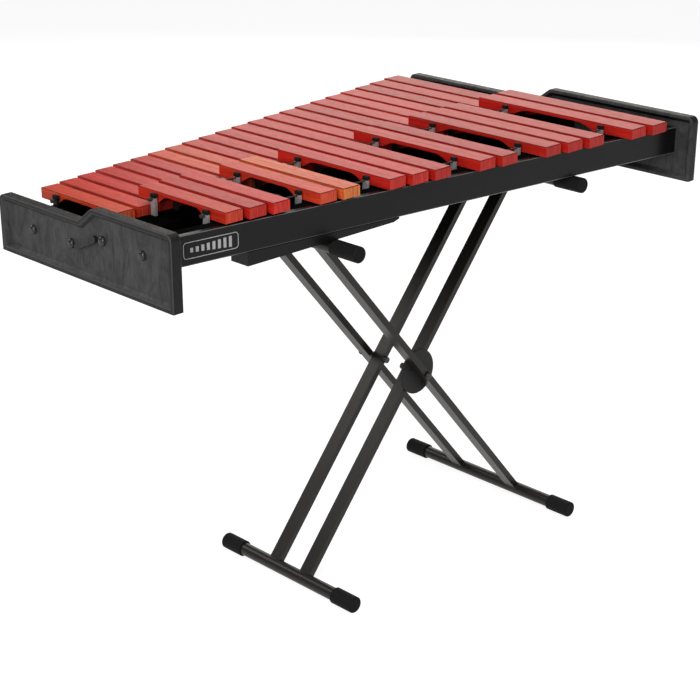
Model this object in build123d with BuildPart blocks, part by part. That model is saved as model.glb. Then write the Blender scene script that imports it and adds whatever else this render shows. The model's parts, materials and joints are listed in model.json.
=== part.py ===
from build123d import *
import math
import os

os.makedirs("parts", exist_ok=True)

# Keyboard layout. +X is the low-pitched end, -Y the audience side, +Z up from the floor.
NATURALS = ["c5", "d5", "e5", "f5", "g5", "a5", "b5", "c6", "d6", "e6", "f6", "g6",
            "a6", "b6", "c7", "d7", "e7", "f7", "g7", "a7", "b7", "c8"]
SHARP_GROUPS = [
    [("cs5", 0.5), ("ds5", 1.5)],
    [("fs5", 3.5), ("gs5", 4.5), ("as5", 5.5)],
    [("cs6", 7.5), ("ds6", 8.5)],
    [("fs6", 10.5), ("gs6", 11.5), ("as6", 12.5)],
    [("cs7", 14.5), ("ds7", 15.5)],
    [("fs7", 17.5), ("gs7", 18.5), ("as7", 19.5)],
]
LAST = len(NATURALS) - 1
PITCH = 48.0                # mean spacing of the natural bars
GRADE = 0.0119              # how fast spacing and width shrink towards the high end
BAR_WIDTH = 38.9            # mean bar width
BAR_THICK = 18.4
ARCH_LENGTH = 0.54          # undercut length as a share of the bar
ARCH_FLAT = 0.55            # level middle as a share of the undercut
ARCH_DEPTH = 12.2
NODE = 0.224                # natural bars: cord position as a share of the length
SHARP_RISE = 27.0           # sharp bars' tops above the natural bars' tops
BAR_TOP = 730.4             # natural bars' tops above the floor
LOW_X = 520.9               # centre of the lowest natural bar
HIGH_X = LOW_X - PITCH * LAST

# Lines across the keyboard, each as (y at LOW_X, y at HIGH_X)
NATURAL_FAR = (369.5, 200.8)
NATURAL_NEAR = (-13.3, -7.0)
SHARP_FAR = (36.2, 17.9)
SHARP_NEAR = (-345.8, -185.5)
SHARP_NEAR_CORD = (-280.0, -151.0)     # lines of the cords under the sharp bars
SHARP_FAR_CORD = (-38.6, -27.4)
RAIL_FRONT = (-321.4, -187.8)

# Case
PANEL_X = 581.4             # outer faces of the end panels
PANEL_THICK = 20.2
PANEL_BOTTOM = 637.2
PANEL_HIGH = 760.7
PANEL_LOW = 734.0
RIM = 6.0
RECESS = 6.8                # depth of both recesses, whose walls splay at 45 degrees
CORNER = 12.0
LOW_RAMP = (-28.0, 7.0)      # where the top edge steps down
HIGH_RAMP = (-40.0, -5.0)
LOW_PANEL_Y = (-367.7, 352.0)
HIGH_PANEL_Y = (-234.5, 211.1)
RAIL_END = PANEL_X - PANEL_THICK + RECESS
FASCIA = 30.0
FASCIA_TOP = BAR_TOP + 5.0
FASCIA_BOTTOM = BAR_TOP - 45.5
LEDGE_TOP = BAR_TOP - 2.4
SHARP_INNER_TOP = BAR_TOP - 12.0
NATURAL_RAIL_TOP = BAR_TOP - 21.5
BASE_TOP = FASCIA_BOTTOM + 6.0
BASE_THICK = 4.0
POST_MARGIN = 10.0          # rail behind the line of posts
GAP = 0.3                   # air between the arms and what rests on them

# Cords and posts
CORD_R = 1.4
KNOT = (3.2, 5.0)           # stop knots: radius and length
POST_PLATE = (5.6, 11.0)
POST_CAP = (6.8, 12.0, 7.5)
SHARP_CORD_Z = BAR_TOP + SHARP_RISE - BAR_THICK + 7.5
NATURAL_CORD_Z = BAR_TOP - BAR_THICK + 7.5

# Stand
STAND_Y = -105.0
PIVOT_X = 36.75
FOOT_CAP_R = 15.0
FOOT_FLAT = 0.4
GRIP_R = 14.0
TUBE_R = 12.0
TUBE_WALL = 1.5
LEG = (12.0, 25.3)          # section of a leg: across it in XZ, and along Y
LEG_WALL = 1.5
INNER_LEG_Y = 39.0
OUTER_LEG_Y = 71.0
INNER_ANGLE = 50.26
OUTER_ANGLE = 49.79
PIVOT_DROP = 329.6          # pivot above the foot tubes
INNER_FOOT = 170.0          # half lengths, rubber included
OUTER_FOOT = 212.5
INNER_ARM = 208.0
OUTER_ARM = 171.0
CAP_LENGTH = 50.0
CAP_END = 4.0               # rubber beyond the end of the tube
GRIP_LENGTH = 60.0
BOLT_R = 4.0
RUNNING = 0.05
BOLT_SHANK = 4.0            # rail bolts
BOLT_LENGTH = 42.0
WEDGE_X = (-401.0, -98.0)
WEDGE_ZERO = 0.0          # where the wedge's underside would meet the rail
WEDGE_SLOPE = 0.0575
WEDGE_DEEP = 40.0
HEAD = (7.0, 5.0)           # pivot bolt heads and nuts: radius, length
NUT = (6.0, 8.0)
DISC_R = 42.5
RATCHET_DEEP = 2.6
RIVET = (3.0, 2.0)          # radius, height
RIVET_AT = (-16.0, 30.0)    # down the outer leg from the pivot
TAB_START = 21.0            # release tab, down the outer leg from the pivot
TAB = (24.5, 9.0)           # length and width

FOOT_Z = FOOT_CAP_R - FOOT_FLAT
PIVOT_Z = FOOT_Z + PIVOT_DROP
INNER_ARM_Z = FASCIA_BOTTOM - GAP - GRIP_R
RAIL_BOTTOM = FASCIA_BOTTOM
INNER_LOW = PIVOT_DROP / math.sin(math.radians(INNER_ANGLE))
OUTER_LOW = PIVOT_DROP / math.sin(math.radians(OUTER_ANGLE))
INNER_HIGH = (INNER_ARM_Z - PIVOT_Z) / math.sin(math.radians(INNER_ANGLE))
OUTER_ARM_X = -228.1
WEDGE_AT_ARM = (WEDGE_ZERO - OUTER_ARM_X) * WEDGE_SLOPE
OUTER_ARM_Z = INNER_ARM_Z - WEDGE_AT_ARM - GRIP_R * (1 / math.cos(math.atan(WEDGE_SLOPE)) - 1)
OUTER_HIGH = (OUTER_ARM_Z - PIVOT_Z) / math.sin(math.radians(OUTER_ANGLE))


def line_y(line, x):
    """Height in Y of a straight line across the keyboard."""
    return line[0] + (line[1] - line[0]) * (LOW_X - x) / (LOW_X - HIGH_X)


def bar_x(index):
    return LOW_X - PITCH * (index + GRADE * (LAST * index - index * index) / 2)


def bar_width(index):
    return BAR_WIDTH * (1 + GRADE * (LAST - 2 * index) / 2)


def node_line(near, far, share):
    return tuple(n + share * (f - n) for n, f in zip(near, far))


CORDS = [
    (SHARP_NEAR_CORD, SHARP_CORD_Z),
    (SHARP_FAR_CORD, SHARP_CORD_Z),
    (node_line(NATURAL_NEAR, NATURAL_FAR, NODE), NATURAL_CORD_Z),
    (node_line(NATURAL_NEAR, NATURAL_FAR, 1 - NODE), NATURAL_CORD_Z),
]


def cord_plane(line, x, z):
    """Plane square to a cord, with its origin on the cord at x."""
    slope = (line[0] - line[1]) / (LOW_X - HIGH_X)
    return Plane(origin=(x, line_y(line, x), z), x_dir=(0, 0, 1), z_dir=(1, slope, 0))


def make_bar(name, index, near, far, top, cords):
    x = bar_x(index)
    width = bar_width(index)
    y0 = line_y(near, x)
    y1 = line_y(far, x)
    centre = (y0 + y1) / 2
    half_arch = ARCH_LENGTH * (y1 - y0) / 2
    flat = half_arch * ARCH_FLAT
    rise = half_arch - flat
    base = top - BAR_THICK
    with BuildPart() as bar:
        with BuildSketch(Plane.YZ.offset(x)):
            with BuildLine():
                Line((centre - half_arch, base), (y0, base))
                Line((y0, base), (y0, top))
                Line((y0, top), (y1, top))
                Line((y1, top), (y1, base))
                Line((y1, base), (centre + half_arch, base))
                for way in (1, -1):
                    Bezier(
                        (centre + way * half_arch, base),
                        (centre + way * (half_arch - 0.3 * rise), base + ARCH_DEPTH * 0.25),
                        (centre + way * (flat + 0.5 * rise), base + ARCH_DEPTH),
                        (centre + way * flat, base + ARCH_DEPTH),
                    )
                Line((centre + flat, base + ARCH_DEPTH), (centre - flat, base + ARCH_DEPTH))
            make_face()
        extrude(amount=width / 2, both=True)
        fillet(bar.faces().sort_by(Axis.Z)[-1].edges(), radius=1.6)
        for line, z in cords:
            with BuildSketch(cord_plane(line, x, z)):
                Circle(CORD_R + 0.5)
            extrude(amount=width, both=True, mode=Mode.SUBTRACT)
    bar.part.label = f"bar_{name}"
    export_step(bar.part, f"parts/bar_{name}.step")


# Tone bars
for number, note in enumerate(NATURALS):
    make_bar(note, number, NATURAL_NEAR, NATURAL_FAR, BAR_TOP, CORDS[2:])
for group in SHARP_GROUPS:
    for note, place in group:
        make_bar(note, place, SHARP_NEAR, SHARP_FAR, BAR_TOP + SHARP_RISE, CORDS[:2])


def panel_outline(y0, y1, inset, ramp):
    points = [
        (y0 + inset, PANEL_BOTTOM + inset),
        (y0 + inset, PANEL_HIGH - inset),
        (ramp[0] - inset * 0.35, PANEL_HIGH - inset),
        (ramp[1] - inset * 0.35, PANEL_LOW - inset),
        (y1 - inset, PANEL_LOW - inset),
        (y1 - inset, PANEL_BOTTOM + inset),
    ]
    return Polygon(*points, align=None)


def make_panel(label, side, y0, y1, ramp, rib):
    outer = side * PANEL_X
    with BuildPart() as panel:
        with BuildSketch(Plane.YZ.offset(outer)):
            panel_outline(y0, y1, 0, ramp)
        extrude(amount=-side * PANEL_THICK)
        upright = panel.edges().filter_by(Axis.X)
        far_top = upright.sort_by(Axis.Y)[-2:].sort_by(Axis.Z)[-1:]
        fillet(upright.group_by(Axis.Z)[-1] + far_top, radius=CORNER)
        rounded = panel.faces().filter_by(Axis.X).edges()
        fillet(rounded.filter_by(lambda edge: edge.center().Z > PANEL_BOTTOM + 1), radius=2)
        for face_x, way in ((outer, -side), (outer - side * PANEL_THICK, side)):
            with BuildSketch(Plane.YZ.offset(face_x)):
                panel_outline(y0, y1, RIM, ramp)
            extrude(amount=way * RECESS, taper=45, mode=Mode.SUBTRACT)
        if rib:
            with BuildSketch(Plane.YZ.offset(outer - side * RECESS)):
                with Locations(Location((-19, 700.5), -25)):
                    SlotOverall(60, 11)
            extrude(amount=side * 5.5)
        with BuildSketch(Plane.YZ.offset(outer)):
            with Locations(*bolt_places(side)):
                Circle(BOLT_SHANK + RUNNING)
        extrude(amount=-side * PANEL_THICK, mode=Mode.SUBTRACT)
    panel.part.label = label
    export_step(panel.part, f"parts/{label}.step")


# Rails between the panels, each as (front line, back line, top, bottom)
BACK_LINES = [tuple(y + POST_MARGIN for y in line) for line, _ in CORDS]
SHARP_INNER_FRONT = tuple(y - 50.0 for y in CORDS[1][0])
NATURAL_INNER_FRONT = tuple(y - 30.0 for y in CORDS[2][0])
NATURAL_OUTER_FRONT = tuple(y - 34.0 for y in CORDS[3][0])


def plank(front, back, top, bottom, x0=-RAIL_END, x1=RAIL_END):
    """Straight board between two lines across the keyboard."""
    corners = [
        (x0, line_y(front, x0)),
        (x1, line_y(front, x1)),
        (x1, line_y(back, x1)),
        (x0, line_y(back, x0)),
    ]
    with BuildPart() as board:
        with BuildSketch(Plane.XY.offset(bottom)):
            Polygon(*corners, align=None)
        extrude(amount=top - bottom)
    return board.part


BOLT_Z = {"sharp": BAR_TOP - 18.5, "natural": BAR_TOP - 41.0}
BOLT_LINES = [
    (tuple(y + 19.0 for y in RAIL_FRONT), BOLT_Z["sharp"]),
    (tuple(y + 17.0 for y in SHARP_INNER_FRONT), BOLT_Z["sharp"]),
    (tuple(y + 16.0 for y in NATURAL_INNER_FRONT), BOLT_Z["natural"]),
    (tuple(y + 16.0 for y in NATURAL_OUTER_FRONT), BOLT_Z["natural"]),
]


def bolt_places(side):
    return [(line_y(line, side * RAIL_END), z) for line, z in BOLT_LINES]


make_panel("end_panel_high", -1, *HIGH_PANEL_Y, HIGH_RAMP, True)
make_panel("end_panel_low", 1, *LOW_PANEL_Y, LOW_RAMP, False)


def bolt_shanks(radius):
    """Straight shanks from the outer panel faces into the rail ends."""
    with BuildPart() as shanks:
        for side in (-1, 1):
            with BuildSketch(Plane.YZ.offset(side * (PANEL_X - RECESS))):
                with Locations(*bolt_places(side)):
                    Circle(radius)
            extrude(amount=-side * BOLT_LENGTH)
    return shanks.part


with BuildPart() as rail_front:
    add(plank(RAIL_FRONT, tuple(y + FASCIA for y in RAIL_FRONT), FASCIA_TOP, FASCIA_BOTTOM))
    add(plank(tuple(y + FASCIA - 1 for y in RAIL_FRONT), BACK_LINES[0], LEDGE_TOP, LEDGE_TOP - 27))
    long_edges = rail_front.edges().group_by(Axis.Z)[0].sort_by(SortBy.LENGTH)[-2:]
    fillet(long_edges.sort_by(Axis.Y)[0], radius=3)
    top_edges = rail_front.edges().group_by(Axis.Z)[-1].sort_by(SortBy.LENGTH)[-2:]
    fillet(top_edges, radius=1.5)
    add(bolt_shanks(BOLT_SHANK + RUNNING), mode=Mode.SUBTRACT)
rail_front.part.label = "rail_front"
export_step(rail_front.part, "parts/rail_front.step")

with BuildPart() as rail_sharp_inner:
    add(plank(SHARP_INNER_FRONT, BACK_LINES[1], SHARP_INNER_TOP, RAIL_BOTTOM))
    add(bolt_shanks(BOLT_SHANK + RUNNING), mode=Mode.SUBTRACT)
rail_sharp_inner.part.label = "rail_sharp_inner"
export_step(rail_sharp_inner.part, "parts/rail_sharp_inner.step")

with BuildPart() as rails_natural:
    add(plank(NATURAL_INNER_FRONT, BACK_LINES[2], NATURAL_RAIL_TOP, RAIL_BOTTOM))
    add(plank(NATURAL_OUTER_FRONT, BACK_LINES[3], NATURAL_RAIL_TOP, RAIL_BOTTOM))
    add(bolt_shanks(BOLT_SHANK + RUNNING), mode=Mode.SUBTRACT)
rails_natural.part.label = "rails_natural"
export_step(rails_natural.part, "parts/rails_natural.step")

with BuildPart() as base_boards:
    fascia_back = tuple(y + FASCIA for y in RAIL_FRONT)
    add(plank(fascia_back, SHARP_INNER_FRONT, BASE_TOP, BASE_TOP - BASE_THICK))
    add(plank(BACK_LINES[1], NATURAL_INNER_FRONT, BASE_TOP, BASE_TOP - BASE_THICK))
    add(plank(BACK_LINES[2], NATURAL_OUTER_FRONT, BASE_TOP, BASE_TOP - BASE_THICK))
base_boards.part.label = "base_boards"
export_step(base_boards.part, "parts/base_boards.step")


with BuildPart() as support_wedges:
    add(plank(RAIL_FRONT, tuple(y + WEDGE_DEEP for y in RAIL_FRONT), FASCIA_BOTTOM, 600, *WEDGE_X))
    add(plank(SHARP_INNER_FRONT, BACK_LINES[1], RAIL_BOTTOM, 600, -290, -180))
    add(plank(NATURAL_INNER_FRONT, BACK_LINES[2], RAIL_BOTTOM, 600, -290, -180))
    with BuildSketch(Plane.XZ.offset(400)):
        left_drop = (WEDGE_ZERO - WEDGE_X[0]) * WEDGE_SLOPE
        right_drop = (WEDGE_ZERO - WEDGE_X[1]) * WEDGE_SLOPE
        Polygon(
            (WEDGE_X[0] - 1, 500),
            (WEDGE_X[0] - 1, FASCIA_BOTTOM - left_drop),
            (WEDGE_X[1] - 12, FASCIA_BOTTOM - right_drop - 0.7),
            (WEDGE_X[1] + 1, FASCIA_BOTTOM - 1.5),
            (WEDGE_X[1] + 1, 500),
            align=None,
        )
    extrude(amount=-350, mode=Mode.SUBTRACT)
    with BuildSketch(Plane.XZ.offset(100)):
        Polygon(
            (-291, 500),
            (-291, RAIL_BOTTOM - (WEDGE_ZERO + 291) * WEDGE_SLOPE),
            (-179, RAIL_BOTTOM - (WEDGE_ZERO + 179) * WEDGE_SLOPE),
            (-179, 500),
            align=None,
        )
    extrude(amount=-250, mode=Mode.SUBTRACT)
support_wedges.part.label = "support_wedges"
export_step(support_wedges.part, "parts/support_wedges.step")

with BuildPart() as rail_bolts:
    for side in (-1, 1):
        face = side * (PANEL_X - RECESS)
        for y, z in bolt_places(side):
            with BuildSketch(Plane.YZ.offset(face)):
                with Locations((y, z)):
                    Circle(8.0)
            extrude(amount=side * 6.0)
    domes = rail_bolts.faces().filter_by(Axis.X)
    fillet(domes.group_by(Axis.X)[0].edges() + domes.group_by(Axis.X)[-1].edges(), radius=5.4)
    add(bolt_shanks(BOLT_SHANK))
rail_bolts.part.label = "rail_bolts"
export_step(rail_bolts.part, "parts/rail_bolts.step")

# Posts stand in the gaps and at both ends of each group of bars.
natural_gaps = [bar_x(0) + bar_width(0) / 2 + 6]
natural_gaps += [
    (bar_x(i) - bar_width(i) / 2 + bar_x(i + 1) + bar_width(i + 1) / 2) / 2 for i in range(LAST)
]
natural_gaps += [bar_x(LAST) - bar_width(LAST) / 2 - 6]
sharp_gaps = []
for group in SHARP_GROUPS:
    first = group[0][1]
    final = group[-1][1]
    sharp_gaps += [bar_x(first) + bar_width(first) / 2 + 6]
    sharp_gaps += [
        (bar_x(p) - bar_width(p) / 2 + bar_x(p + 1) + bar_width(p + 1) / 2) / 2
        for _, p in group[:-1]
    ]
    sharp_gaps += [bar_x(final) - bar_width(final) / 2 - 6]
ROWS = [
    (CORDS[0], sharp_gaps, LEDGE_TOP, BAR_TOP + SHARP_RISE),
    (CORDS[1], sharp_gaps, SHARP_INNER_TOP, BAR_TOP + SHARP_RISE),
    (CORDS[2], natural_gaps, NATURAL_RAIL_TOP, BAR_TOP),
    (CORDS[3], natural_gaps, NATURAL_RAIL_TOP, BAR_TOP),
]

with BuildPart() as cord_posts:
    for (line, cord_z), places, foot, top in ROWS:
        cap_top = top - 2.4
        spots = [(x, line_y(line, x)) for x in places]
        with BuildSketch(Plane.XY.offset(foot)):
            with Locations(*spots):
                Rectangle(*POST_PLATE)
        extrude(amount=cap_top - 2 - foot)
        with BuildSketch(Plane.XY.offset(cap_top - POST_CAP[2])):
            with Locations(*spots):
                RectangleRounded(POST_CAP[0], POST_CAP[1], 2.0)
        extrude(amount=POST_CAP[2])
        with BuildSketch(cord_plane(line, 0, cord_z)):
            Circle(CORD_R + 0.4)
        extrude(amount=620, both=True, mode=Mode.SUBTRACT)
cord_posts.part.label = "cord_posts"
export_step(cord_posts.part, "parts/cord_posts.step")

with BuildPart() as suspension_cords:
    for (line, cord_z), places, foot, top in ROWS:
        low_end = places[0] + 8
        high_end = places[-1] - 8
        with BuildSketch(cord_plane(line, high_end, cord_z)):
            Circle(CORD_R)
        slope = (line[0] - line[1]) / (LOW_X - HIGH_X)
        extrude(amount=(low_end - high_end) * math.hypot(1, slope))
        for x in (low_end, high_end):
            with BuildSketch(cord_plane(line, x, cord_z)):
                Circle(KNOT[0])
            extrude(amount=KNOT[1] / 2, both=True)
suspension_cords.part.label = "suspension_cords"
export_step(suspension_cords.part, "parts/suspension_cords.step")


# Stand. A frame's legs rise from its foot tube, through the pivot, to its arm tube.
def reach(angle, length, toward):
    """Point in XZ at a distance from the pivot along a leg."""
    turn = math.radians(angle)
    return (PIVOT_X + toward * length * math.cos(turn), PIVOT_Z + length * math.sin(turn))


INNER_FOOT_AT = reach(INNER_ANGLE, -INNER_LOW, 1)
INNER_ARM_AT = reach(INNER_ANGLE, INNER_HIGH, 1)
OUTER_FOOT_AT = reach(OUTER_ANGLE, -OUTER_LOW, -1)
OUTER_ARM_AT = reach(OUTER_ANGLE, OUTER_HIGH, -1)


def make_tube(label, at, half):
    """Hollow round tube along Y whose ends stop inside the rubber caps."""
    length = half - CAP_END
    with BuildPart() as tube:
        with BuildSketch(Plane.XZ.offset(-STAND_Y)):
            with Locations(at):
                Circle(TUBE_R)
                Circle(TUBE_R - TUBE_WALL, mode=Mode.SUBTRACT)
        extrude(amount=length, both=True)
    tube.part.label = label
    export_step(tube.part, f"parts/{label}.step")


def make_legs(label, foot, arm, spread):
    """Two rectangular tubes with saddle-cut ends and a pivot hole."""
    length = math.hypot(arm[0] - foot[0], arm[1] - foot[1])
    rise = (arm[0] - foot[0], 0, arm[1] - foot[1])
    with BuildPart() as legs:
        with BuildSketch(Plane(origin=(foot[0], STAND_Y, foot[1]), x_dir=(0, 1, 0), z_dir=rise)):
            with Locations((-spread, 0), (spread, 0)):
                Rectangle(LEG[1], LEG[0])
                Rectangle(LEG[1] - 2 * LEG_WALL, LEG[0] - 2 * LEG_WALL, mode=Mode.SUBTRACT)
        extrude(amount=length)
        with BuildSketch(Plane.XZ.offset(-STAND_Y)):
            with Locations(foot, arm):
                Circle(TUBE_R)
            with Locations((PIVOT_X, PIVOT_Z)):
                Circle(BOLT_R + RUNNING)
        extrude(amount=200, both=True, mode=Mode.SUBTRACT)
    legs.part.label = label
    export_step(legs.part, f"parts/{label}.step")


def sleeves(at, half, length, radius):
    """Closed rubber sleeves on both ends of a tube."""
    x, z = at
    with BuildPart() as pair:
        for side in (-1, 1):
            end = STAND_Y + side * half
            with BuildSketch(Plane.YZ.offset(x)):
                Polygon(
                    (end, z),
                    (end, z + radius),
                    (end - side * length, z + radius),
                    (end - side * length, z + TUBE_R),
                    (end - side * CAP_END, z + TUBE_R),
                    (end - side * CAP_END, z),
                    align=None,
                )
                fillet(vertices().sort_by_distance((end, z + radius))[0], radius=3)
                fillet(vertices().sort_by_distance((end - side * length, z + radius))[0], radius=1)
            revolve(axis=Axis((x, 0, z), (0, 1, 0)))
    return pair.part


def make_rubber(label, foot, foot_half, arm, arm_half):
    """Foot caps with a small flat to stand on, and arm grips."""
    with BuildPart() as rubber:
        add(sleeves(foot, foot_half, CAP_LENGTH, FOOT_CAP_R))
        split(bisect_by=Plane.XY, keep=Keep.TOP)
        add(sleeves(arm, arm_half, GRIP_LENGTH, GRIP_R))
    rubber.part.label = label
    export_step(rubber.part, f"parts/{label}.step")


make_tube("inner_foot_tube", INNER_FOOT_AT, INNER_FOOT)
make_tube("inner_arm_tube", INNER_ARM_AT, INNER_ARM)
make_legs("inner_legs", INNER_FOOT_AT, INNER_ARM_AT, INNER_LEG_Y)
make_rubber("inner_rubber", INNER_FOOT_AT, INNER_FOOT, INNER_ARM_AT, INNER_ARM)
make_tube("outer_foot_tube", OUTER_FOOT_AT, OUTER_FOOT)
make_tube("outer_arm_tube", OUTER_ARM_AT, OUTER_ARM)
make_legs("outer_legs", OUTER_FOOT_AT, OUTER_ARM_AT, OUTER_LEG_Y)
make_rubber("outer_rubber", OUTER_FOOT_AT, OUTER_FOOT, OUTER_ARM_AT, OUTER_ARM)

# Pivot: the legs' Y faces, counted outwards from the middle of the stand
INNER_IN = INNER_LEG_Y - LEG[1] / 2
INNER_OUT = INNER_LEG_Y + LEG[1] / 2
OUTER_IN = OUTER_LEG_Y - LEG[1] / 2
OUTER_OUT = OUTER_LEG_Y + LEG[1] / 2


def pivot_disc(radius, start, end, side):
    """Round slab about the pivot between two distances from the stand's middle."""
    with BuildPart() as slab:
        with BuildSketch(Plane.XZ.offset(-STAND_Y - side * start)):
            with Locations((PIVOT_X, PIVOT_Z)):
                Circle(radius)
        extrude(amount=-side * (end - start))
    return slab.part


with BuildPart() as pivot_bolts:
    for side in (-1, 1):
        add(pivot_disc(BOLT_R, INNER_IN - NUT[1], OUTER_OUT + HEAD[1], side))
        add(pivot_disc(HEAD[0], OUTER_OUT + GAP, OUTER_OUT + HEAD[1], side))
        add(pivot_disc(NUT[0], INNER_IN - NUT[1], INNER_IN - GAP, side))
    add(pivot_disc(HEAD[0], INNER_OUT + GAP, OUTER_IN - GAP, 1))
    ends = pivot_bolts.faces().filter_by(Axis.Y).sort_by(Axis.Y)
    fillet(ends[0].edges() + ends[-1].edges(), radius=3)
pivot_bolts.part.label = "pivot_bolts"
export_step(pivot_bolts.part, "parts/pivot_bolts.step")

# Lock, between the outer and inner front legs
DISC_IN = INNER_OUT + RATCHET_DEEP + GAP
ACROSS = math.radians(OUTER_ANGLE)
RIVET_OFF = LEG[0] / 2 + RIVET[0]

with BuildPart() as lock_disc:
    add(pivot_disc(DISC_R, DISC_IN, OUTER_IN, -1))
    fillet(lock_disc.faces().sort_by(Axis.Y)[0].edges(), radius=1)
    with BuildSketch(Plane.XZ.offset(-STAND_Y + OUTER_IN)):
        for along in RIVET_AT:
            x, z = reach(OUTER_ANGLE, -along, -1)
            with Locations((x - RIVET_OFF * math.sin(ACROSS), z - RIVET_OFF * math.cos(ACROSS))):
                Circle(RIVET[0])
    extrude(amount=RIVET[1])
    with BuildSketch(Plane.XZ.offset(-STAND_Y)):
        with Locations(Location(reach(OUTER_ANGLE, 1 - TAB_START - DISC_R, -1), -OUTER_ANGLE)):
            Rectangle(2 * DISC_R, TAB[1] + 2 * GAP)
        with Locations((PIVOT_X, PIVOT_Z)):
            Circle(BOLT_R + RUNNING)
    extrude(amount=100, mode=Mode.SUBTRACT)
lock_disc.part.label = "lock_disc"
export_step(lock_disc.part, "parts/lock_disc.step")

with BuildPart() as ratchet_plate:
    add(pivot_disc(DISC_R - 4, INNER_OUT, INNER_OUT + RATCHET_DEEP, -1))
    with BuildSketch(Plane.XZ.offset(-STAND_Y)):
        with Locations((PIVOT_X, PIVOT_Z)):
            Circle(BOLT_R + RUNNING)
            with PolarLocations(DISC_R - 4, 24):
                Rectangle(5, 3)
    extrude(amount=100, mode=Mode.SUBTRACT)
ratchet_plate.part.label = "ratchet_plate"
export_step(ratchet_plate.part, "parts/ratchet_plate.step")

with BuildPart() as release_tab:
    with BuildSketch(Plane.XZ.offset(-STAND_Y + DISC_IN + GAP)):
        with Locations(Location(reach(OUTER_ANGLE, -TAB_START - TAB[0] / 2, -1), -OUTER_ANGLE)):
            RectangleRounded(TAB[0], TAB[1], 3)
    extrude(amount=OUTER_IN - DISC_IN - 2 * GAP)
release_tab.part.label = "release_tab"
export_step(release_tab.part, "parts/release_tab.step")
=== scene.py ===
import json
import math
import random

import bmesh
import bpy
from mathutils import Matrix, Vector


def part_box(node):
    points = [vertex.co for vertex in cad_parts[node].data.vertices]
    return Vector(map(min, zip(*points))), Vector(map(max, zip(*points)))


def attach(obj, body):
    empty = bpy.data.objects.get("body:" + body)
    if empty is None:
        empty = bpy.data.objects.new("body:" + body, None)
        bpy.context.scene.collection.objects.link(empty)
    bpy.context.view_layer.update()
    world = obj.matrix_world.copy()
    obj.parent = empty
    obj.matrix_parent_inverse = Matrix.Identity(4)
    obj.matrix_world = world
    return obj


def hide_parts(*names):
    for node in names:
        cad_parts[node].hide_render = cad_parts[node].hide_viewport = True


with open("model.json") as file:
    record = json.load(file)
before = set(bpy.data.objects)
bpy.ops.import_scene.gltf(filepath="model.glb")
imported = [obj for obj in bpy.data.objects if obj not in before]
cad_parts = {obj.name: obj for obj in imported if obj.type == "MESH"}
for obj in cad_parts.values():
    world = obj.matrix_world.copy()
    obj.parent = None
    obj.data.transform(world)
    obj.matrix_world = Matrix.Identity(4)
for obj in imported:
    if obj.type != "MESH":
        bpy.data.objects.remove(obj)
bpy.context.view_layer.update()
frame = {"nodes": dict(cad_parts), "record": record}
nodes = frame["nodes"]
scene = bpy.context.scene
MM = 0.001

# ---------------------------------------------------------------- camera, floor and light
CAMERA_AT = (-2.0123, -2.031, 1.4988)
CAMERA_PITCH = 21.88        # degrees below the horizon
CAMERA_TURN = -45.09        # degrees about Z, from +Y

camera_data = bpy.data.cameras.new("camera")
camera_data.lens = 84.39
camera_data.sensor_width = 36.0
camera = bpy.data.objects.new("camera", camera_data)
camera.location = CAMERA_AT
camera.rotation_euler = (math.radians(90 - CAMERA_PITCH), 0, math.radians(CAMERA_TURN))
scene.collection.objects.link(camera)
scene.camera = camera
scene.view_settings.view_transform = "Standard"


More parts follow.
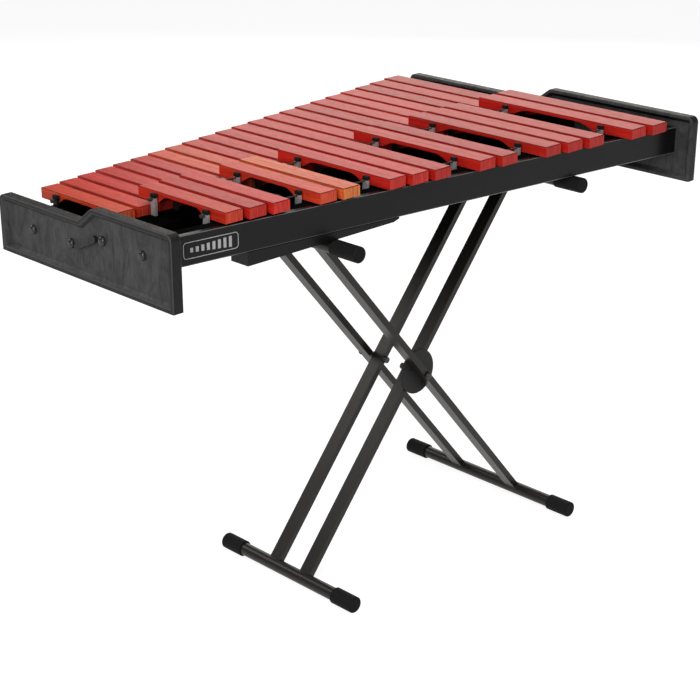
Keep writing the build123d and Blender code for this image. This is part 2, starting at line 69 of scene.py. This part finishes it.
class Shader:
    """A Principled material and the few calls used to wire it."""

    def __init__(self, name):
        self.material = bpy.data.materials.new(name)
        self.material.use_nodes = True
        self.tree = self.material.node_tree
        self.bsdf = self.tree.nodes["Principled BSDF"]
        self.where = self.add("ShaderNodeTexCoord").outputs["Object"]

    def add(self, kind, inputs=None, **settings):
        node = self.tree.nodes.new(kind)
        for key, value in settings.items():
            setattr(node, key, value)
        for key, value in (inputs or {}).items():
            if isinstance(value, bpy.types.NodeSocket):
                self.tree.links.new(value, node.inputs[key])
            else:
                node.inputs[key].default_value = value
        return node

    def set(self, **inputs):
        for key, value in inputs.items():
            socket = self.bsdf.inputs[key.replace("_", " ")]
            if isinstance(value, bpy.types.NodeSocket):
                self.tree.links.new(value, socket)
            else:
                socket.default_value = value

    def stretched(self, scale, shift=(0, 0, 0)):
        """Object coordinates, scaled to features per metre."""
        inputs = {"Vector": self.where, "Scale": scale, "Location": shift}
        return self.add("ShaderNodeMapping", inputs).outputs[0]

    def noise(self, vector, scale=1.0, detail=3.0, distortion=0.0, rough=0.5):
        inputs = {"Vector": vector, "Scale": scale, "Detail": detail}
        inputs.update({"Distortion": distortion, "Roughness": rough})
        return self.add("ShaderNodeTexNoise", inputs).outputs["Fac"]

    def ramp(self, factor, *stops):
        """Colours or grey levels at positions from 0 to 1."""
        node = self.add("ShaderNodeValToRGB", {"Fac": factor})
        elements = node.color_ramp.elements
        while len(elements) < len(stops):
            elements.new(0.5)
        for element, (place, colour) in zip(elements, stops):
            element.position = place
            if isinstance(colour, (int, float)):
                colour = (colour, colour, colour)
            element.color = (*colour, 1)
        return node.outputs["Color"]

    def mix(self, factor, a, b, blend="MIX"):
        node = self.add("ShaderNodeMix", data_type="RGBA", blend_type=blend)
        for socket, value in ((node.inputs[0], factor), (node.inputs[6], a), (node.inputs[7], b)):
            if isinstance(value, bpy.types.NodeSocket):
                self.tree.links.new(value, socket)
            elif isinstance(value, (int, float)):
                socket.default_value = value
            else:
                socket.default_value = (*value, 1)
        return node.outputs[2]

    def math(self, operation, a, b=0.0, clamp=False):
        node = self.add("ShaderNodeMath", operation=operation, use_clamp=clamp)
        for socket, value in zip(node.inputs, (a, b)):
            if isinstance(value, bpy.types.NodeSocket):
                self.tree.links.new(value, socket)
            else:
                socket.default_value = value
        return node.outputs[0]

    def bump(self, height, strength, depth_mm, base=None):
        inputs = {"Height": height, "Strength": strength, "Distance": depth_mm * MM}
        if base is not None:
            inputs["Normal"] = base
        normal = self.add("ShaderNodeBump", inputs).outputs[0]
        self.set(Normal=normal)
        return normal

    def normal(self, axis):
        """One component of the surface normal."""
        normal = self.add("ShaderNodeNewGeometry").outputs["Normal"]
        return self.add("ShaderNodeSeparateXYZ", {"Vector": normal}).outputs[axis]

    def facing(self, axis, low=0.55, high=0.8):
        """1 on faces square to an axis, 0 on the rest."""
        return self.ramp(self.math("ABSOLUTE", self.normal(axis)), (low, 0.0), (high, 1.0))

    def arrises(self, flat_from):
        """1 on rounded edges, 0 on faces square to any axis."""
        normal = self.add("ShaderNodeNewGeometry").outputs["Normal"]
        size = self.add("ShaderNodeVectorMath", {0: normal}, operation="ABSOLUTE").outputs[0]
        x, y, z = self.add("ShaderNodeSeparateXYZ", {"Vector": size}).outputs
        largest = self.math("MAXIMUM", self.math("MAXIMUM", x, y), z)
        return self.ramp(largest, (0.93, 1.0), (flat_from, 0.0))


def floor_material():
    paint = Shader("floor_paint")
    speck = paint.noise(paint.stretched((40, 40, 40)), detail=2)
    paint.set(
        Base_Color=paint.ramp(speck, (0.0, 0.34), (1.0, 0.36)),
        Roughness=0.9,
        Specular_IOR_Level=0.1,
        Emission_Color=(1, 1, 1, 1),
        Emission_Strength=0.86,
    )
    # Seen directly or mirrored the floor is a lit white sweep; its diffuse bounce is dimmer.
    path = paint.add("ShaderNodeLightPath").outputs
    seen = path["Is Camera Ray"]
    strength = paint.math("ADD", paint.math("MULTIPLY", path["Is Glossy Ray"], 0.5), 0.38)
    dim = paint.add("ShaderNodeEmission", {"Color": (1, 1, 1, 1), "Strength": strength}).outputs[0]
    blend = paint.add("ShaderNodeMixShader", {"Fac": seen})
    paint.tree.links.new(dim, blend.inputs[1])
    paint.tree.links.new(paint.bsdf.outputs[0], blend.inputs[2])
    paint.tree.links.new(blend.outputs[0], paint.tree.nodes["Material Output"].inputs["Surface"])
    return paint.material


bpy.ops.mesh.primitive_plane_add(size=120)
floor = bpy.context.object
floor.name = "floor"
floor.data.materials.append(floor_material())

world = bpy.data.worlds.new("studio")
world.use_nodes = True
sky = world.node_tree.nodes["Background"]
sky.inputs["Color"].default_value = (1, 1, 1, 1)
# Dim as a light, white where a low view looks past the floor
sky_path = world.node_tree.nodes.new("ShaderNodeLightPath")
sky_level = world.node_tree.nodes.new("ShaderNodeMapRange")
sky_level.inputs["To Min"].default_value = 0.2
sky_level.inputs["To Max"].default_value = 1.0
world.node_tree.links.new(sky_path.outputs["Is Camera Ray"], sky_level.inputs["Value"])
world.node_tree.links.new(sky_level.outputs[0], sky.inputs["Strength"])
scene.world = world


def softbox(name, location, target, size, energy, colour=(1, 1, 1)):
    data = bpy.data.lights.new(name, "AREA")
    data.size = size
    data.energy = energy
    data.color = colour
    lamp = bpy.data.objects.new(name, data)
    lamp.location = location
    lamp.rotation_euler = (Vector(target) - Vector(location)).to_track_quat("-Z", "Y").to_euler()
    scene.collection.objects.link(lamp)


softbox("left_box", (-3.3, -1.6, 1.9), (0, 0, 0.5), 2.0, 62)
softbox("side_box", (-1.6, 3.2, 2.9), (-0.2, 0, 0.7), 1.6, 34)
softbox("top_box", (-0.5, -1.2, 3.3), (0, 0, 0.6), 2.4, 44)
softbox("back_box", (3.3, 2.5, 2.1), (0.3, 0, 0.73), 3.0, 50, (1, 0.96, 0.88))


# ---------------------------------------------------------------- materials
PANEL_RIM_X = 0.5800        # the end panels' rims stand outside this plane
ARRIS_X = 0.5796
MOTTLE = 0.2                # how far a coat's tone strays from its mean
# Linear colour of the wood, and what full orange adds to it, by channel
PADOUK_RED_AND_LEAN = ((0.58, 0.26), (0.014, 0.095), (0.009, 0.016))


def padouk(name, seed, value, orange):
    """Oiled red hardwood, grain along Y, end grain on the faces square to Y."""
    wood = Shader(name)
    rng = random.Random(seed)
    shift = (rng.uniform(-40, 40), rng.uniform(-9, 9), rng.uniform(-40, 40))
    broad = wood.noise(wood.stretched((70, 2.4, 70), shift), detail=2, distortion=0.6)
    streak = wood.noise(wood.stretched((300, 7, 300), shift), detail=5, distortion=0.3, rough=0.62)
    pores = wood.noise(wood.stretched((1500, 55, 1500), shift), detail=2)
    tone = [value * (red + lean * orange) for red, lean in PADOUK_RED_AND_LEAN]
    dark = [tone[0] * 0.66, tone[1] * 0.4, tone[2] * 0.5]
    light = [tone[0] * 1.2, tone[1] * 2.2, tone[2] * 1.8]
    long_grain = wood.ramp(streak, (0.28, dark), (0.5, tone), (0.74, light))
    long_grain = wood.mix(0.5, long_grain, wood.ramp(broad, (0.3, dark), (0.7, light)))
    pore_lines = wood.ramp(pores, (0.34, 0.62), (0.46, 1.0))
    long_grain = wood.mix(1.0, long_grain, pore_lines, "MULTIPLY")
    rings = wood.noise(wood.stretched((430, 20, 34), shift), detail=4, distortion=0.5, rough=0.65)
    end_light = [tone[0] * 1.3, tone[1] * 3.6, tone[2] * 4.2]
    end_grain = wood.ramp(rings, (0.3, [c * 0.7 for c in tone]), (0.62, end_light))
    colour = wood.mix(wood.facing("Y"), long_grain, end_grain)
    # Painted shade: the rounded arrises take a dark line that stands in for the shadow along the
    # bars' edges
    wood.set(
        Base_Color=wood.mix(wood.arrises(0.985), colour, [c * 0.35 for c in dark]),
        Roughness=wood.ramp(pores, (0.3, 0.5), (0.6, 0.36)),
        Specular_IOR_Level=0.23,
    )
    relief = wood.bump(streak, 0.22, 0.4)
    wood.bump(pores, 0.25, 0.25, relief)
    return wood.material


def panel_material():
    """Moulded black panel: brushed, wood-like relief in the recess, smooth raised rim."""
    board = Shader("embossed_panel")
    x = board.add("ShaderNodeSeparateXYZ", {"Vector": board.where}).outputs["X"]
    out = board.math("ABSOLUTE", x)
    rim = board.ramp(out, (PANEL_RIM_X - 0.0005, 0.0), (PANEL_RIM_X, 1.0))
    recess = board.math("SUBTRACT", 1.0, rim)
    outer = board.ramp(out, (ARRIS_X - 0.0006, 0.0), (ARRIS_X, 1.0))
    swirl = board.noise(board.stretched((26, 26, 14)), detail=6, distortion=2.6, rough=0.62)
    brush = board.noise(board.stretched((300, 300, 26)), detail=4, distortion=0.9, rough=0.7)
    mottle = board.noise(board.stretched((14, 14, 9)), detail=3, distortion=0.8)
    face = board.ramp(mottle, (0.3, (0.044, 0.044, 0.045)), (0.7, (0.062, 0.062, 0.063)))
    face = board.mix(1.0, face, board.ramp(brush, (0.3, 0.72), (0.7, 1.2)), "MULTIPLY")
    face = board.mix(1.0, face, board.ramp(swirl, (0.36, 0.7), (0.6, 1.2)), "MULTIPLY")
    # Painted shade: faces turned downward, such as the overhanging wall of the recess, are
    # darkened. Painted highlight: the rounded outer edges of the rim are lightened
    upward = board.math("ADD", board.normal("Z"), 1.0)
    # Painted shade on downward faces
    face = board.mix(1.0, face, board.ramp(upward, (0.3, 0.12), (0.75, 1.0)), "MULTIPLY")
    slant = board.math("ABSOLUTE", board.normal("X"))
    plain = board.math("MAXIMUM", rim, board.ramp(slant, (0.1, 1.0), (0.3, 0.0)))
    # Mask for the painted highlight on the rim's rounded outer edges
    rounded = board.ramp(slant, (0.15, 0.0), (0.35, 1.0), (0.93, 1.0), (0.985, 0.0))
    colour = board.mix(plain, face, (0.012, 0.0112, 0.0112))
    board.set(
        Base_Color=board.mix(board.math("MULTIPLY", rounded, outer), colour, (0.085, 0.082, 0.08)),
        Roughness=board.ramp(swirl, (0.3, 0.52), (0.7, 0.38)),
        Specular_IOR_Level=0.22,
    )
    relief = board.math("ADD", swirl, board.math("MULTIPLY", brush, 0.6))
    grain = board.bump(board.math("MULTIPLY", relief, recess), 0.9, 1.6)
    board.bump(board.noise(board.stretched((900, 900, 900)), detail=2), 0.08, 0.3, grain)
    return board.material


def satin(
    name, colour, rough, grit_scale, relief_mm, gloss=0.3, metallic=0.0, arris_highlight=None, tint=(1, 1, 1)
):
    """Painted, coated or moulded surface: slight mottling, an even fine relief, and arrises
    painted lighter as a highlight when a highlight colour is given.
    """
    coat = Shader(name)
    cloud = coat.noise(coat.stretched((9, 9, 9)), detail=3)
    grit = coat.noise(coat.stretched((grit_scale,) * 3), detail=2)
    low = [c * (1 - MOTTLE) for c in colour]
    high = [c * (1 + MOTTLE) for c in colour]
    tone = coat.ramp(cloud, (0.3, low), (0.7, high))
    # Painted highlight: the rounded arrises take the lighter colour
    if arris_highlight:
        tone = coat.mix(coat.arrises(0.975), tone, arris_highlight)
    coat.set(
        Base_Color=tone,
        Roughness=coat.ramp(grit, (0.3, rough * 0.88), (0.7, rough * 1.12)),
        Metallic=metallic,
        Specular_IOR_Level=gloss,
        Specular_Tint=(*tint, 1),
    )
    coat.bump(grit, 0.3, relief_mm)
    return coat.material


def brushed_steel():
    steel = Shader("post_steel")
    lines = steel.noise(steel.stretched((900, 900, 60)), detail=3)
    spots = steel.noise(steel.stretched((120, 120, 120)), detail=3)
    tone = steel.ramp(spots, (0.3, (0.5, 0.51, 0.52)), (0.7, (0.78, 0.8, 0.81)))
    steel.set(
        Base_Color=steel.mix(1.0, tone, steel.ramp(lines, (0.3, 0.8), (0.7, 1.05)), "MULTIPLY"),
        Metallic=0.55,
        Roughness=steel.ramp(lines, (0.3, 0.46), (0.7, 0.32)),
    )
    steel.bump(lines, 0.2, 0.15)
    return steel.material


def braided_cord():
    cord = Shader("braided_cord")
    inputs = {"Vector": cord.stretched((700, 380, 700)), "Scale": 1.0, "Distortion": 0.4}
    weave = cord.add("ShaderNodeTexWave", inputs, bands_direction="DIAGONAL").outputs["Fac"]
    cord.set(Base_Color=cord.ramp(weave, (0.2, 0.012), (0.8, 0.06)), Roughness=0.8)
    cord.bump(weave, 0.5, 0.3)
    return cord.material


panel_black = panel_material()
# The rail's rounded edges carry a painted highlight in light grey
rail_black = satin(
    "rail_paint", (0.0052, 0.0053, 0.0058), 0.28, 700, 0.12, gloss=0.24, arris_highlight=(0.15, 0.15, 0.15)
)
# Near-black matte colour that paints the shade under the bars
shade_black = satin("shade_black", (0.002, 0.002, 0.002), 0.9, 700, 0.2, gloss=0.0)
bolt_black = satin("bolt_black", (0.010, 0.010, 0.0105), 0.26, 1200, 0.06, gloss=0.6)
powder_coat = satin(
    "powder_coat", (0.0125, 0.0116, 0.0106), 0.34, 1500, 0.2, gloss=0.36, tint=(1, 0.94, 0.85)
)
rubber = satin("rubber", (0.009, 0.009, 0.009), 0.7, 1100, 0.3, gloss=0.15)
lock_plastic = satin("lock_plastic", (0.018, 0.018, 0.018), 0.5, 900, 0.2)
lock_steel = satin("lock_steel", (0.05, 0.05, 0.052), 0.4, 900, 0.15, metallic=0.8)
steel = brushed_steel()
cord_material = braided_cord()

BY_SLOT = {
    "panel_black": panel_black,
    "rail_black": rail_black,
    "bolt_black": bolt_black,
    "post_steel": steel,
    "cord": cord_material,
    "powder_coat": powder_coat,
    "rubber": rubber,
    "lock_plastic": lock_plastic,
    "lock_steel": lock_steel,
}
slot_of = {part["node"]: part["material_slot"] for part in frame["record"]["subparts"]}
# How far some bars lean from red towards orange, 0 to 1
ORANGE_BARS = {
    "bar_cs7": 0.9,
    "bar_c7": 0.45,
    "bar_d7": 0.35,
    "bar_c8": 0.3,
    "bar_ds7": 0.2,
    "bar_as7": 0.12,
    "bar_b7": 0.1,
}
BAR_SEED = 900
BAR_TONES = (0.88, 1.12)
for number, name in enumerate(sorted(nodes)):
    obj = nodes[name]
    obj.data.materials.clear()
    if name.startswith("bar_"):
        value = random.Random(BAR_SEED + number).uniform(*BAR_TONES)
        lean = ORANGE_BARS.get(name, 0.0)
        obj.data.materials.append(padouk(f"padouk_{name}", number, value, lean))
    else:
        obj.data.materials.append(BY_SLOT[slot_of[name]])

# Painted shade: what is under the bars takes a near-black matte colour, darker than the rail's
# paint, standing in for the shade there
for name in ("base_boards", "rail_sharp_inner", "rails_natural"):
    nodes[name].data.materials[0] = shade_black


# ---------------------------------------------------------------- added pieces
def finish_mesh(name, bm, material, body, bevel_mm=0.0, segments=2):
    mesh = bpy.data.meshes.new(name)
    bmesh.ops.recalc_face_normals(bm, faces=bm.faces)
    bm.to_mesh(mesh)
    bm.free()
    piece = bpy.data.objects.new(name, mesh)
    scene.collection.objects.link(piece)
    mesh.materials.append(material)
    if bevel_mm:
        bevel = piece.modifiers.new("edges", "BEVEL")
        bevel.width = bevel_mm * MM
        bevel.segments = segments
        bevel.limit_method = "ANGLE"
    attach(piece, body)
    return piece


def join_rings(bm, first, second):
    """Faces between two rings of the same number of vertices."""
    for k in range(len(first)):
        after = (k + 1) % len(first)
        bm.faces.new((first[k], first[after], second[after], second[k]))


def prism(bm, outline, z0, z1):
    """Closed solid between two heights over an outline of (x, y) points."""
    low = [bm.verts.new((x, y, z0)) for x, y in outline]
    high = [bm.verts.new((x, y, z1)) for x, y in outline]
    bm.faces.new(low)
    bm.faces.new(high)
    join_rings(bm, low, high)


def post_boxes(reach=0.009):
    """Lowest and highest corners of every post in the CAD node."""
    boxes = []
    for vertex in nodes["cord_posts"].data.vertices:
        x, y, z = vertex.co
        for box in boxes:
            if abs(x - box["at"][0]) < reach and abs(y - box["at"][1]) < 1.6 * reach:
                box["low"] = [min(a, b) for a, b in zip(box["low"], (x, y, z))]
                box["high"] = [max(a, b) for a, b in zip(box["high"], (x, y, z))]
                break
        else:
            boxes.append({"at": (x, y), "low": [x, y, z], "high": [x, y, z]})
    return boxes


# Cord posts: a folded steel channel, open at the back, under a moulded black head
WALL = 1.2 * MM
HEAD_HEIGHT = 7.5 * MM
SHARP_ROW_Z = 740 * MM              # posts of the upper bars end above this
CHANNEL = (2.8 * MM, 5.5 * MM)      # half width and half depth
HEAD = (3.4 * MM, 6.0 * MM)
BESIDE_BAR = 20 * MM                # a post this close to a sharp bar's +X side gets painted shade, a near-black copy of the steel
channels = bmesh.new()
shaded_channels = bmesh.new()
heads = bmesh.new()
sharps = [name for name in nodes if name.startswith("bar_") and name[5] == "s"]
right_sides = [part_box(name)[1][0] for name in sharps]
for box in post_boxes():
    # So does every post of the natural bars
    inside = any(0 < box["at"][0] - side < BESIDE_BAR for side in right_sides)
    row = shaded_channels if inside or box["high"][2] < SHARP_ROW_Z else channels
    x = (box["low"][0] + box["high"][0]) / 2
    y = (box["low"][1] + box["high"][1]) / 2
    foot, top = box["low"][2], box["high"][2]
    w, d = CHANNEL
    outline = [(-w, -d), (w, -d), (w, d), (w - WALL, d), (w - WALL, WALL - d)]
    outline += [(WALL - w, WALL - d), (WALL - w, d), (-w, d)]
    prism(row, [(x + u, y + v) for u, v in outline], foot, top - HEAD_HEIGHT / 2)
    w, d = HEAD
    outline = [(-w, -d), (w, -d), (w, d), (-w, d)]
    prism(heads, [(x + u, y + v) for u, v in outline], top - HEAD_HEIGHT, top)
post_channels = finish_mesh("post_channels", channels, steel, "instrument", 0.5)
# Painted shade: near-black copy of the post steel for the posts lying in the shadow of the bars
shaded_steel = satin("steel_in_painted_shade", (0.012, 0.012, 0.012), 0.45, 900, 0.15)
post_channels_shaded = finish_mesh(
    "post_channels_shaded", shaded_channels, shaded_steel, "instrument", 0.5
)
post_heads = finish_mesh("post_heads", heads, rubber, "instrument", 1.4, 3)
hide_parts("cord_posts")
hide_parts("cord_posts")
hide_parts("cord_posts")


# Front rail: the line of its face, and near-black felt on its ledge and on the back of its top,
# which also paints the shade there
rail = nodes["rail_front"].data.vertices
RAIL_LOW, RAIL_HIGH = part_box("rail_front")
FASCIA = 30 * MM
FASCIA_SHOWS = 11 * MM      # bare width of the fascia's top, in front of the felt
LEDGE_DROP = 7.4 * MM
FELT_THICK = 0.5 * MM
FELT_END = 8 * MM           # bare length at each end
FELT_STEPS = 60


def rail_line(pick):
    """Y of one side of the front rail as a function of X."""
    ends = []
    for x_end in (RAIL_LOW[0], RAIL_HIGH[0]):
        ends.append(pick(v.co.y for v in rail if abs(v.co.x - x_end) < 2 * MM))
    slope = (ends[1] - ends[0]) / (RAIL_HIGH[0] - RAIL_LOW[0])
    return lambda x: ends[0] + slope * (x - RAIL_LOW[0])


rail_face = rail_line(min)
rail_back = rail_line(max)
felt = bmesh.new()
x0, x1 = RAIL_LOW[0] + FELT_END, RAIL_HIGH[0] - FELT_END
edge = [(x0 + (x1 - x0) * k / FELT_STEPS) for k in range(FELT_STEPS + 1)]


def felt_strip(front, back, z):
    """Strip between two offsets from the lines that front and back give."""
    outline = [(x, front[0](x) + front[1]) for x in edge]
    outline += [(x, back[0](x) + back[1]) for x in reversed(edge)]
    prism(felt, outline, z, z + FELT_THICK)


felt_strip((rail_face, FASCIA + 0.5 * MM), (rail_back, -1.0 * MM), RAIL_HIGH[2] - LEDGE_DROP)
felt_strip((rail_face, FASCIA_SHOWS), (rail_face, FASCIA - 0.3 * MM), RAIL_HIGH[2])
# Near-black felt, doubling as painted shade on the ledge and the fascia's top
felt_and_shade = satin("felt_and_shade_black", (0.004, 0.004, 0.004), 0.95, 1800, 0.4, gloss=0.0)
finish_mesh("ledge_felt_and_shade", felt, felt_and_shade, "instrument")

# Plain badge near the high end of the front rail: an outline and a row of graded bars
BADGE_AT = (-467.5 * MM, 709.9 * MM)
BADGE_HALF = (50 * MM, 13.5 * MM)
BADGE_CORNER = 6 * MM
LINE = 1.1 * MM
PROUD = 0.35 * MM
SUNK = 0.05 * MM            # the badge's back face, just inside the rail
BADGE_BARS = 8
BAR_STEP = 10 * MM
BAR_HALF = 2.6 * MM
SHORTEST, TALLER_BY = 3.5 * MM, 0.75 * MM       # half heights


def rounded_outline(half_u, half_v, corner, arc=6):
    """Rectangle with round corners, centred on (0, 0)."""
    points = []
    for quarter, (su, sv) in enumerate(((1, 1), (-1, 1), (-1, -1), (1, -1))):
        for k in range(arc + 1):
            turn = math.radians(90 * quarter + 90 * k / arc)
            u = su * (half_u - corner) + corner * math.cos(turn)
            points.append((u, sv * (half_v - corner) + corner * math.sin(turn)))
    return points


def on_rail(u, v, lift):
    """Point at (u, v) from the badge's centre, a distance in front of the rail's face."""
    x = BADGE_AT[0] + u
    return (x, rail_face(x) - lift, BADGE_AT[1] + v)


badge = bmesh.new()
outer = rounded_outline(*BADGE_HALF, BADGE_CORNER)
inner = rounded_outline(BADGE_HALF[0] - LINE, BADGE_HALF[1] - LINE, BADGE_CORNER - LINE)


def badge_ring(outline, lift):
    return [badge.verts.new(on_rail(u, v, lift)) for u, v in outline]


outer_back, outer_front = badge_ring(outer, -SUNK), badge_ring(outer, PROUD)
inner_back, inner_front = badge_ring(inner, -SUNK), badge_ring(inner, PROUD)
frame_rings = (outer_back, outer_front, inner_front, inner_back, outer_back)
for first, second in zip(frame_rings, frame_rings[1:]):
    join_rings(badge, first, second)
for k in range(BADGE_BARS):
    u = (k - (BADGE_BARS - 1) / 2) * BAR_STEP
    tall = SHORTEST + TALLER_BY * k
    left, right = u - BAR_HALF, u + BAR_HALF
    corners = [(left, -tall), (right, -tall), (right, tall), (left, tall)]
    back, front = badge_ring(corners, -SUNK), badge_ring(corners, PROUD)
    badge.faces.new(back)
    badge.faces.new(front)
    join_rings(badge, back, front)
silver = satin("badge_silver", (0.5, 0.5, 0.5), 0.4, 900, 0.05, gloss=0.4)
finish_mesh("badge", badge, silver, "instrument")


# Weld beads where the legs meet the cross tubes
LEG_HALF = (6.0 * MM, 12.65 * MM)       # across the leg's slope, and along Y
BEAD_R = 1.0 * MM
BEAD_POINTS = 48
SQUARENESS = 0.3            # 1 would give an oval bead, 0 a rectangular one
BEAD_UNEVEN = (0.8, 1.25)   # share of the bead's radius


def tube_axis(node):
    """Middle of a tube's end circle, moved to Y = 0, and the tube's radius."""
    low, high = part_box(node)
    return Vector(((low[0] + high[0]) / 2, 0, (low[2] + high[2]) / 2)), (high[0] - low[0]) / 2


def weld_beads(prefix):
    """Beads where a frame's two legs meet its foot tube and its arm tube."""
    foot, radius = tube_axis(f"{prefix}_foot_tube")
    arm, _ = tube_axis(f"{prefix}_arm_tube")
    along = (arm - foot).normalized()
    across = Vector((-along.z, 0, along.x))
    low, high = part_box(f"{prefix}_legs")
    curve = bpy.data.curves.new(f"{prefix}_weld_beads", "CURVE")
    curve.dimensions = "3D"
    curve.bevel_depth = BEAD_R
    curve.bevel_resolution = 2
    rng = random.Random(prefix)
    for y in (low[1] + LEG_HALF[1], high[1] - LEG_HALF[1]):
        for start, way in ((foot, 1), (arm, -1)):
            spline = curve.splines.new("POLY")
            spline.points.add(BEAD_POINTS - 1)
            spline.use_cyclic_u = True
            for k in range(BEAD_POINTS):
                turn = 2 * math.pi * k / BEAD_POINTS
                c, n = math.cos(turn), math.sin(turn)
                side = LEG_HALF[0] * math.copysign(abs(c) ** SQUARENESS, c)
                dy = LEG_HALF[1] * math.copysign(abs(n) ** SQUARENESS, n)
                rise = math.sqrt(radius ** 2 - side ** 2)
                at = start + across * side + along * way * rise
                spline.points[k].co = (at.x, y + dy, at.z, 1)
                spline.points[k].radius = rng.uniform(*BEAD_UNEVEN)
    piece = bpy.data.objects.new(f"{prefix}_weld_beads", curve)
    scene.collection.objects.link(piece)
    curve.materials.append(powder_coat)
    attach(piece, f"{prefix}_frame")


weld_beads("inner")
weld_beads("outer")
